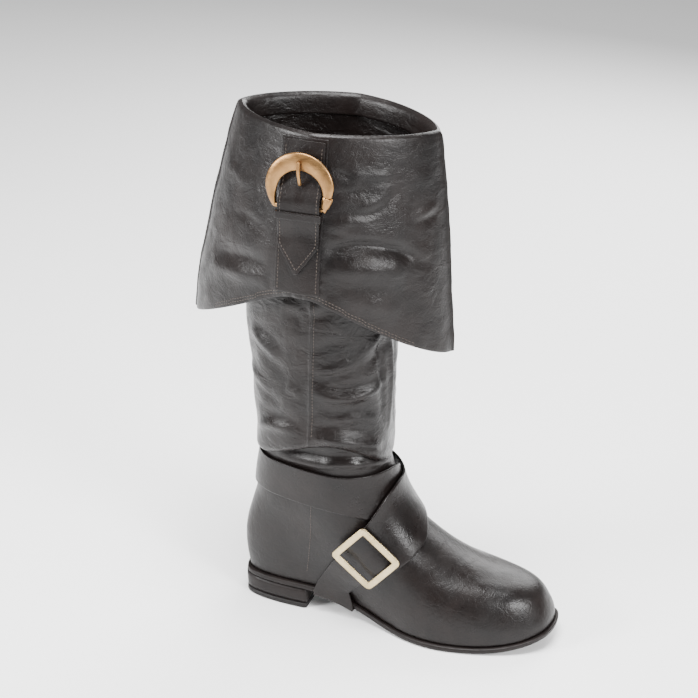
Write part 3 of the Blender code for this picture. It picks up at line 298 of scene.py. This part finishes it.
def woven_material(name, colour, thread):
    """Plain woven cloth with a thread's width."""
    material, tree, shader = plain_material(name, colour, 0.85)
    place = object_place(tree)
    heights = []
    for direction in ("X", "Y"):
        heights.append(bands_of(tree, place, direction, thread).outputs["Fac"])
    both = add(tree, "ShaderNodeMath", operation="MULTIPLY")
    tree.links.new(heights[0], both.inputs[0])
    tree.links.new(heights[1], both.inputs[1])
    tree.links.new(bumped(tree, both.outputs["Value"], thread / 4), shader.inputs["Normal"])
    lighter = tuple(channel * 1.7 for channel in colour)
    shade = noise_of(tree, place, 90.0, 5.0)
    tree.links.new(ramp_of(tree, shade, 0.3, 0.8, colour, lighter), shader.inputs["Base Color"])
    shader.inputs["Sheen Weight"].default_value = 0.25
    return material


lining = woven_material("sock_lining", LINING_BROWN, 0.0009)
dress(smoothed("sock_sheet", cage_of("insole", CRISP), 1), lining, "boot", "lining", "insole")

# Foot of the boot: one leather piece lasted over the toe and up to the ankle.
# Soft creases run round the ankle under the leg's fold, and a stitched quarter seam runs down from
# the ankle band on the outer side.
LEATHER_DARK = (0.0034, 0.0025, 0.0024)
LEATHER_LIGHT = (0.0090, 0.0062, 0.0056)
ANKLE_AXIS_X = 0.0414
STRAP_SHELTER = 0.006
BAND_SHELTER = 0.0028
PIT_DEPTH = 0.00009
CRACKLE_DEPTH = 0.00005

# Folds run between two places, given by the angle round the leg (-90 is the outer side, 0 the
# front) in degrees and a height in millimetres. Bow bends the fold up, width is its half-width and
# rise its height over the leather, in millimetres; a trough has a negative rise.
FOLD_COLUMNS = ("angle_from", "high_from", "angle_to", "high_to", "bow", "width", "rise")
ANKLE_FOLDS = (
    (-140, 158, -66, 162, -1, 2.8, 3.0),
    (-80, 162, -36, 163, 2, 2.8, 3.4),
    (-48, 163, 10, 151, 2, 2.8, 2.8),
    (-40, 171, -14, 164, -3, 2.2, 2.0),
    (-136, 169, -50, 171, 0, 3.2, -4.0),
    (-66, 172, 10, 159, 3, 3.2, -3.6),
    (20, 156, 80, 166, 2, 2.8, 1.8),
    (86, 165, 150, 158, 1, 2.8, 1.7),
    (30, 165, 140, 172, 2, 3.4, -1.8),
)


def around(points, axis_x, radius):
    """Places on the leather unrolled round an upright axis, in millimetres."""
    angle = np.degrees(np.arctan2(points[:, 1], points[:, 0] - axis_x))
    return np.stack([np.radians(angle) * radius * 1000, points[:, 2] * 1000], axis=1)


def folds(points, rows, axis_x, radius):
    """How far soft folds lift the leather at each point, in metres."""
    places = around(points, axis_x, radius)
    turn = 2 * math.pi * radius * 1000
    lift = np.zeros(len(points))
    for row in rows:
        fold = dict(zip(FOLD_COLUMNS, row))
        start = np.array((math.radians(fold["angle_from"]) * radius * 1000, fold["high_from"]))
        end = np.array((math.radians(fold["angle_to"]) * radius * 1000, fold["high_to"]))
        run = end - start
        length = np.linalg.norm(run)
        side = np.array((-run[1], run[0])) / length
        off = places - start
        off[:, 0] = (off[:, 0] - run[0] / 2 + turn / 2) % turn - turn / 2 + run[0] / 2
        share = off @ run / length ** 2
        bow = fold["bow"] * (1 - (2 * share - 1) ** 2)
        apart = (off @ side - bow) / fold["width"]
        ends = np.clip(share, 0, 1) - share
        fade = np.sin(np.pi * np.clip(share, 0.0, 1.0)) ** 0.6
        lift += fold["rise"] / 1000 * np.exp(-apart ** 2) * fade * (ends == 0)
    return lift


def undulation(points, scale, amount, seed):
    """Slow uneven swelling of soft leather, in metres."""
    shift = Vector((seed, seed * 1.7, seed * 0.6))
    return np.array([noise.noise(Vector(p) * scale + shift) for p in points]) * amount


def shelter(points, nodes, reach):
    """0 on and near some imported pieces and 1 a reach away from them."""
    near = [np.array([v.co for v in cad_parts[node].data.vertices]) for node in nodes]
    near = np.concatenate(near)
    tree = KDTree(len(near))
    for index, point in enumerate(near):
        tree.insert(point, index)
    tree.balance()
    apart = np.array([tree.find(point)[2] for point in points])
    share = np.clip((apart - reach / 3) / reach, 0.0, 1.0)
    return share * share * (3 - 2 * share)


def outward(points, axis_x):
    """Level directions away from an upright axis."""
    away = points - np.array((axis_x, 0.0, 0.0))
    away[:, 2] = 0.0
    return away / np.linalg.norm(away, axis=1, keepdims=True)


def leather_material(name, shine, wrinkle, stretch=(1.0, 1.0, 1.0)):
    """Soft finished leather: pebbled grain, slow colour change, fine wrinkles and a waxy coat."""
    material, tree, shader = plain_material(name, LEATHER_DARK, 0.4)
    place = object_place(tree)
    drawn = object_place(tree, stretch)
    tone = noise_of(tree, place, 26.0, 6.0, 0.6, 0.3)
    tree.links.new(ramp_of(tree, tone, 0.32, 0.72, LEATHER_DARK, LEATHER_LIGHT), shader.inputs["Base Color"])
    wax = noise_of(tree, drawn, 55.0, 7.0, 0.65, 0.4)
    tree.links.new(range_of(tree, wax, 0.3, 0.72, shine - 0.10, shine + 0.10), shader.inputs["Roughness"])
    wrinkles = noise_of(tree, drawn, 62.0, 7.0, 0.58, 1.2)
    normal = bumped(tree, wrinkles, wrinkle)
    cells = add(tree, "ShaderNodeTexVoronoi", feature="SMOOTH_F1", Scale=1150.0, Smoothness=0.7)
    tree.links.new(place, cells.inputs["Vector"])
    normal = bumped(tree, cells.outputs["Distance"], PIT_DEPTH, normal)
    crackle = add(tree, "ShaderNodeTexVoronoi", feature="DISTANCE_TO_EDGE", Scale=150.0)
    tree.links.new(drawn, crackle.inputs["Vector"])
    lines = range_of(tree, crackle.outputs["Distance"], 0.0, 0.09, 0.0, 1.0)
    normal = bumped(tree, lines, CRACKLE_DEPTH, normal)
    tree.links.new(normal, shader.inputs["Normal"])
    shader.inputs["Coat Weight"].default_value = 0.04
    shader.inputs["Coat Roughness"].default_value = 0.25
    shader.inputs["Specular IOR Level"].default_value = 0.23
    return material


foot_leather = leather_material("foot_leather", 0.36, 0.0004)
harness_nodes = ("strap_plain", "strap_buckled", "buckle_frame", "zip_strip")
vamp = smoothed("lasted_foot", cage_of("foot_upper", 0.85), 2)
vamp_points = points_of(vamp)
ankle_lift = folds(vamp_points, ANKLE_FOLDS, ANKLE_AXIS_X, 0.048)
vamp_lift = ankle_lift + undulation(vamp_points, 34.0, 0.0005, 3.0)
vamp_lift = vamp_lift * shelter(vamp_points, harness_nodes, BAND_SHELTER)
move_points(vamp, vamp_points + outward(vamp_points, ANKLE_AXIS_X) * vamp_lift[:, None])
dress(vamp, foot_leather, "boot", "leather", "foot_upper")

# Leg: soft leather tube with a seam down each side, slouched so that it folds over the ankle.
# Its lower edge is turned in behind the fold and its top is held inside the cuff.
LEG_AXIS_X = 0.036
LEG_RADIUS = 0.060
LEG_FOLDS = (
    (-84, 236, -16, 242, -7, 4.6, 2.4),
    (-80, 247, -28, 246, -6, 4.4, -2.0),
    (-78, 223, -42, 221, -4, 5.5, -1.4),
    (-84, 256, -44, 266, -2, 3.2, 1.8),
    (-84, 249, -50, 257, -2, 3.4, -1.5),
    (-86, 274, -52, 282, 3, 5.0, -1.1),
    (-112, 311, -93, 313, 2, 3.8, 1.9),
    (-110, 303, -92, 304, 2, 4.0, -1.4),
    (-88, 313, -70, 320, 1, 3.8, 1.8),
    (-88, 305, -66, 311, 0, 4.0, -1.3),
    (-150, 279, -118, 261, 3, 5.0, 1.7),
    (-142, 286, -108, 268, 3, 5.0, -1.4),
    (-138, 262, -104, 246, 0, 6.0, -1.1),
    (-160, 240, -126, 224, 2, 5.5, 1.4),
    (-146, 231, -112, 216, 0, 5.0, -1.1),
    (-150, 184, -94, 197, 4, 4.6, 1.7),
    (-140, 202, -96, 207, 2, 5.5, -1.2),
    (-84, 193, -20, 178, 4, 4.4, 2.0),
    (-82, 204, -30, 196, 3, 4.8, -1.5),
    (-60, 212, -24, 206, 3, 4.4, 1.2),
    (-46, 267, -12, 292, 1, 3.8, 1.7),
    (-40, 258, -10, 279, 0, 4.4, -1.5),
    (-14, 304, -9, 190, 3, 3.0, 1.7),
    (-23, 300, -18, 200, -2, 3.6, -1.4),
    (-2, 296, 3, 184, 0, 3.4, -1.2),
    (-108, 236, -92, 232, 1, 3.6, 1.2),
    (-110, 285, -94, 290, 1, 5.0, 1.0),
    (18, 250, 70, 238, 5, 5.0, 2.0),
    (20, 240, 66, 228, 5, 4.6, -1.7),
    (10, 215, 78, 200, 4, 4.8, 1.8),
    (24, 282, 60, 268, 3, 5.0, -1.4),
    (16, 190, 80, 187, 5, 4.4, 1.7),
    (26, 199, 74, 196, 4, 4.6, -1.3),
    (100, 262, 150, 246, 4, 5.2, 1.8),
    (104, 252, 152, 236, 4, 4.8, -1.5),
    (98, 218, 160, 206, 3, 5.0, 1.6),
    (104, 190, 158, 184, 4, 4.4, 1.5),
    (108, 206, 150, 198, 3, 4.6, -1.3),
    (150, 300, 176, 226, 3, 4.4, 1.3),
    (162, 290, 186, 214, 2, 4.4, -1.2),
    (96, 300, 140, 284, 3, 5.5, -1.2),
)
PUCKER_ROWS = [(-89, height, -79, height + 2, 1, 1.3, -0.55) for height in range(252, 292, 4)]
LEG_TOP_FADE = (0.330, 0.350)
FOLD_DEPTH = 1.4

leg_leather = leather_material("leg_leather", 0.33, 0.0012, stretch=(1.0, 1.0, 1.7))
leg = smoothed("slouched_leg", cage_of("leg_shaft", 0.85), 3)
leg_points = points_of(leg)
leg_lift = folds(leg_points, LEG_FOLDS + tuple(PUCKER_ROWS), LEG_AXIS_X, LEG_RADIUS)
leg_lift = leg_lift + undulation(leg_points, 24.0, 0.0011, 8.0)
leg_lift = leg_lift + undulation(leg_points, 60.0, 0.0005, 5.0)
fade = np.clip((LEG_TOP_FADE[1] - leg_points[:, 2]) / (LEG_TOP_FADE[1] - LEG_TOP_FADE[0]), 0.0, 1.0)
leg_lift = FOLD_DEPTH * leg_lift * fade * shelter(leg_points, ("zip_strip",), STRAP_SHELTER)
move_points(leg, leg_points + outward(leg_points, LEG_AXIS_X) * leg_lift[:, None])
dress(leg, leg_leather, "boot", "leather", "leg_shaft")

# Cuff: the leg's top turned down over itself, two leather panels joined in a thin raised edge at
# the back and at the front. Its hem is stitched on the outer side.
CUFF_AXIS_X = 0.040
CUFF_RADIUS = 0.078
CUFF_FOLDS = (
    (-78, 374, -24, 366, 8, 5.5, -3.2),
    (-78, 358, -30, 352, 4, 10.0, 2.6),
    (-70, 340, -34, 318, 2, 9.0, 1.6),
    (-40, 376, -14, 352, 2, 4.5, -1.4),
    (-78, 440, -60, 433, 1, 2.2, -0.8),
    (-64, 435, -34, 431, 3, 2.0, 0.7),
    (-76, 422, -48, 427, -2, 2.0, -0.8),
    (-50, 428, -30, 431, 1, 1.8, -0.8),
    (-60, 404, -36, 413, -3, 2.2, -1.1),
    (-56, 410, -38, 422, -2, 2.2, 0.9),
    (-40, 412, -30, 422, 0, 1.8, -0.7),
    (-76, 389, -60, 384, 1, 2.0, -0.8),
    (-74, 395, -52, 398, 2, 3.0, 0.8),
    (-24, 399, -7, 404, -1, 3.0, 1.2),
    (-24, 392, -8, 396, -1, 3.0, -0.9),
    (-162, 330, -112, 341, 3, 6.5, 2.0),
    (-158, 345, -114, 356, 3, 6.0, -1.6),
    (-150, 388, -112, 380, 3, 5.0, -1.0),
    (-168, 420, -120, 410, 3, 7.0, 0.9),
    (-116, 446, -106, 448, 0, 1.8, 0.7),
    (-118, 438, -106, 440, 0, 1.8, -0.7),
    (20, 400, 70, 392, 6, 7.0, 1.8),
    (24, 384, 76, 376, 6, 6.0, -2.0),
    (30, 330, 84, 320, 4, 9.0, 1.8),
    (14, 430, 50, 440, 3, 3.0, -0.9),
    (100, 402, 150, 390, 6, 6.5, -1.9),
    (96, 360, 160, 340, 5, 9.0, 2.0),
    (104, 436, 140, 430, 2, 3.0, -0.9),
    (12, 310, 34, 298, 3, 5.0, -1.8),
)
CUFF_FADE = (0.455, 0.440)

cuff_leather = leather_material("cuff_leather", 0.37, 0.0008, stretch=(1.0, 1.0, 1.4))
cuff = smoothed("turned_cuff", cage_of("cuff", 0.8), 3)
cuff_points = points_of(cuff)
cuff_lift = folds(cuff_points, CUFF_FOLDS, CUFF_AXIS_X, CUFF_RADIUS)
cuff_lift = cuff_lift + undulation(cuff_points, 17.0, 0.0016, 11.0)
cuff_lift = cuff_lift + undulation(cuff_points, 70.0, 0.0004, 2.0)
fade = np.clip((CUFF_FADE[0] - cuff_points[:, 2]) / (CUFF_FADE[0] - CUFF_FADE[1]), 0.0, 1.0)
cuff_strap_nodes = ("cuff_strap_base", "cuff_strap_end", "crescent_buckle")
cuff_lift = FOLD_DEPTH * cuff_lift * fade * shelter(cuff_points, cuff_strap_nodes, STRAP_SHELTER)
move_points(cuff, cuff_points + outward(cuff_points, CUFF_AXIS_X) * cuff_lift[:, None])
dress(cuff, cuff_leather, "boot", "leather", "cuff")

# Harness: two leather straps that cross over the instep, go round the ankle and meet under the
# arch. Their edges are cut square.
strap_leather = leather_material("strap_leather", 0.34, 0.0003)
for name, node in (("plain_strap", "strap_plain"), ("buckled_strap", "strap_buckled")):
    dress(smoothed(name, cage_of(node, 0.7), 3), strap_leather, "boot", "strap_leather", node)

# Stitching: waxed brown thread in short raised dashes along the leg's side seam, the foot's quarter
# seam, the cuff's hem and the cuff's strap. Each stitch is sunk by half into the leather it holds.
THREAD = (0.030, 0.020, 0.014)
THREAD_LIGHT = (0.055, 0.040, 0.030)
STITCH_LENGTH = 0.0021
STITCH_STEP = 0.0030
STITCH_RADIUS = 0.00032
STITCH_SIDES = 5


def face_tree(piece):
    """The piece's faces, ready to be met by a straight line."""
    corners = [corner.co for corner in piece.data.vertices]
    return BVHTree.FromPolygons(corners, [face.vertices for face in piece.data.polygons])


def stitched(name, tree, line, aims):
    """A row of stitches where lines from a path of places meet a piece."""
    line, aims = np.array(line, dtype=float), np.array(aims, dtype=float)
    run = np.concatenate([[0.0], np.cumsum(np.linalg.norm(np.diff(line, axis=0), axis=1))])
    shape = bmesh.new()
    for start in np.arange(STITCH_STEP / 2, run[-1] - STITCH_LENGTH, STITCH_STEP):
        ends = []
        for at in (start, start + STITCH_LENGTH):
            spot = Vector([float(np.interp(at, run, line[:, k])) for k in range(3)])
            aim = Vector([float(np.interp(at, run, aims[:, k])) for k in range(3)]).normalized()
            met = tree.ray_cast(spot, aim)
            if met[0] is not None:
                ends.append(met[0])
        if len(ends) < 2 or (ends[1] - ends[0]).length > 2 * STITCH_LENGTH:
            continue
        heading = (ends[1] - ends[0]).normalized()
        side = heading.cross(aim).normalized()
        up = side.cross(heading)
        loops = []
        for share, size in ((0.0, 0.25), (0.22, 1.0), (0.78, 1.0), (1.0, 0.25)):
            middle = ends[0].lerp(ends[1], share)
            loop = []
            for k in range(STITCH_SIDES):
                turn = 2 * math.pi * k / STITCH_SIDES
                reach = side * math.cos(turn) + up * math.sin(turn)
                loop.append(shape.verts.new(middle + reach * STITCH_RADIUS * size))
            loops.append(loop)
        for low, high in zip(loops, loops[1:]):
            for k in range(STITCH_SIDES):
                j = (k + 1) % STITCH_SIDES
                shape.faces.new((low[k], low[j], high[j], high[k]))
        shape.faces.new(loops[0])
        shape.faces.new(loops[-1])
    bmesh.ops.recalc_face_normals(shape, faces=shape.faces)
    mesh = bpy.data.meshes.new(name)
    shape.to_mesh(mesh)
    shape.free()
    mesh.shade_smooth()
    return dress(link(name, mesh), thread, "boot", None)


def thread_material():
    """Waxed twisted thread."""
    material, tree, shader = plain_material("waxed_thread", THREAD, 0.5)
    place = object_place(tree)
    twist = noise_of(tree, place, 2600.0, 2.0)
    tree.links.new(bumped(tree, twist, 0.00008), shader.inputs["Normal"])
    tree.links.new(ramp_of(tree, twist, 0.3, 0.7, THREAD, THREAD_LIGHT), shader.inputs["Base Color"])
    return material


thread = thread_material()
BEFORE = -0.3
TO_BOOT = (0.0, 1.0, 0.0)


def side_row(name, piece, line):
    """Stitches on the outer side of a piece, along a path of places given by x and z."""
    places = [(x, BEFORE, z) for x, z in line]
    return stitched(name, face_tree(piece), places, [TO_BOOT] * len(places))


LEG_SEAM = ((0.0431, 0.192), (0.0432, 0.230), (0.0433, 0.270), (0.0433, 0.330), (0.0432, 0.352))
side_row("leg_seam_stitches", leg, LEG_SEAM)
QUARTER_SEAM = ((0.0393, 0.117), (0.0388, 0.100), (0.0383, 0.082), (0.0362, 0.060), (0.0335, 0.040))
side_row("foot_seam_stitches", vamp, QUARTER_SEAM)
HEM_ROWS = (0.0045, 0.0070)
HEM_FROM, HEM_TO, HEM_PLACES = -0.050, 0.128, 60
HEM_WINDOW = 0.003
OUTER_SIDE = -0.012
hem_line = []
for x in np.linspace(HEM_FROM, HEM_TO, HEM_PLACES):
    near = cuff_points[(abs(cuff_points[:, 0] - x) < HEM_WINDOW) & (cuff_points[:, 1] < OUTER_SIDE)]
    if len(near):
        hem_line.append((x, near[:, 2].min()))
for index, rise in enumerate(HEM_ROWS):
    side_row("hem_stitches_" + str(index), cuff, [(x, z + rise) for x, z in hem_line])

# Rectangular buckle of the harness, stamped from flat metal and plated pale gold.
# It lies on the crossing strap, and its bar is hidden under the strap's rise.
PALE_GOLD, PALE_GOLD_WORN = (0.66, 0.54, 0.32), (0.46, 0.36, 0.19)
ANTIQUE_GOLD, ANTIQUE_GOLD_WORN = (0.36, 0.205, 0.085), (0.22, 0.115, 0.045)
METAL_ROUGHNESS = 0.36
STREAK_DEPTH = 0.00003


def metal_material(name, colour, worn, brushed):
    """Brushed plated metal, darker where it is worn."""
    material, tree, shader = plain_material(name, colour, METAL_ROUGHNESS)
    shader.inputs["Metallic"].default_value = 1.0
    place = object_place(tree)
    wear = noise_of(tree, place, 85.0, 5.0)
    tree.links.new(ramp_of(tree, wear, 0.3, 0.7, worn, colour), shader.inputs["Base Color"])
    streaks = noise_of(tree, object_place(tree, brushed), 900.0, 3.0)
    roughness = range_of(tree, streaks, 0.3, 0.7, METAL_ROUGHNESS - 0.06, METAL_ROUGHNESS + 0.10)
    tree.links.new(roughness, shader.inputs["Roughness"])
    tree.links.new(bumped(tree, streaks, STREAK_DEPTH), shader.inputs["Normal"])
    return material


pale_gold = metal_material("pale_gold", PALE_GOLD, PALE_GOLD_WORN, (1.0, 1.0, 0.2))
antique_gold = metal_material("antique_gold", ANTIQUE_GOLD, ANTIQUE_GOLD_WORN, (0.15, 1.0, 1.0))
square_buckle = smoothed("square_buckle", cage_of("buckle_frame", 0.75), 2)
dress(square_buckle, pale_gold, "boot", "pale_gold", "buckle_frame")
square_buckle_bar = smoothed("square_buckle_bar", cage_of("buckle_bar", FIRM), 1)
dress(square_buckle_bar, pale_gold, "boot", "pale_gold", "buckle_bar")

# Strap down the outer side of the cuff: its base is sewn to the cuff from rim to hem.
# The loose end is pointed, passes over the crescent buckle's bar and lies in a leather keeper.
CUFF_STRAP_X = 0.0365
BASE_HALF = 0.0168
END_HALF = 0.0154
BASE_TOP, BASE_LOW = 0.4640, 0.3385
END_TOP, POINT_START, POINT_LOW = 0.4600, 0.3800, 0.3585
cuff_strap = smoothed("cuff_strap", cage_of("cuff_strap_base", FIRM), 3)
pointed_end = smoothed("pointed_end", cage_of("cuff_strap_end", FIRM), 3)
keeper_loop = smoothed("keeper_loop", cage_of("strap_keeper", FIRM), 3)
dress(cuff_strap, strap_leather, "boot", "strap_leather", "cuff_strap_base")
dress(pointed_end, strap_leather, "boot", "strap_leather", "cuff_strap_end")
dress(keeper_loop, strap_leather, "boot", "strap_leather", "strap_keeper")
for label, side in (("rear", -1), ("front", 1)):
    base_x, end_x = CUFF_STRAP_X + side * BASE_HALF, CUFF_STRAP_X + side * END_HALF
    base_line = ((base_x, BASE_TOP), (base_x, BASE_LOW))
    side_row("cuff_strap_stitches_" + label, cuff_strap, base_line)
    end_line = ((end_x, END_TOP), (end_x, POINT_START), (CUFF_STRAP_X, POINT_LOW))
    side_row("strap_end_stitches_" + label, pointed_end, end_line)

# Crescent buckle and its prong, cast and plated antique gold.
# The prong comes up from the strap and rests on the crescent's upper arc.
crescent = smoothed("crescent", cage_of("crescent_buckle", 0.5, FLAT_ANGLE), 2)
dress(crescent, antique_gold, "boot", "antique_gold", "crescent_buckle")
prong = smoothed("prong", cage_of("buckle_prong", 0.6), 2)
dress(prong, antique_gold, "boot", "antique_gold", "buckle_prong")

# Zip on the inner side, sewn along the leg from the foot to under the cuff.
# Its tape is woven cloth, and its slider and swinging pull are plated metal.
ZIP_BLACK = (0.007, 0.007, 0.008)
zip_cloth = woven_material("zip_cloth", ZIP_BLACK, 0.0006)
dress(smoothed("zip_tape", cage_of("zip_strip", CRISP), 1), zip_cloth, "boot", "zip_tape", "zip_strip")
dress(smoothed("slider", cage_of("zip_slider", FIRM), 2), antique_gold, "boot", "zip_metal", "zip_slider")
dress(smoothed("pull", cage_of("zip_pull", FIRM), 2), antique_gold, "pull_tab", "zip_metal", "zip_pull")
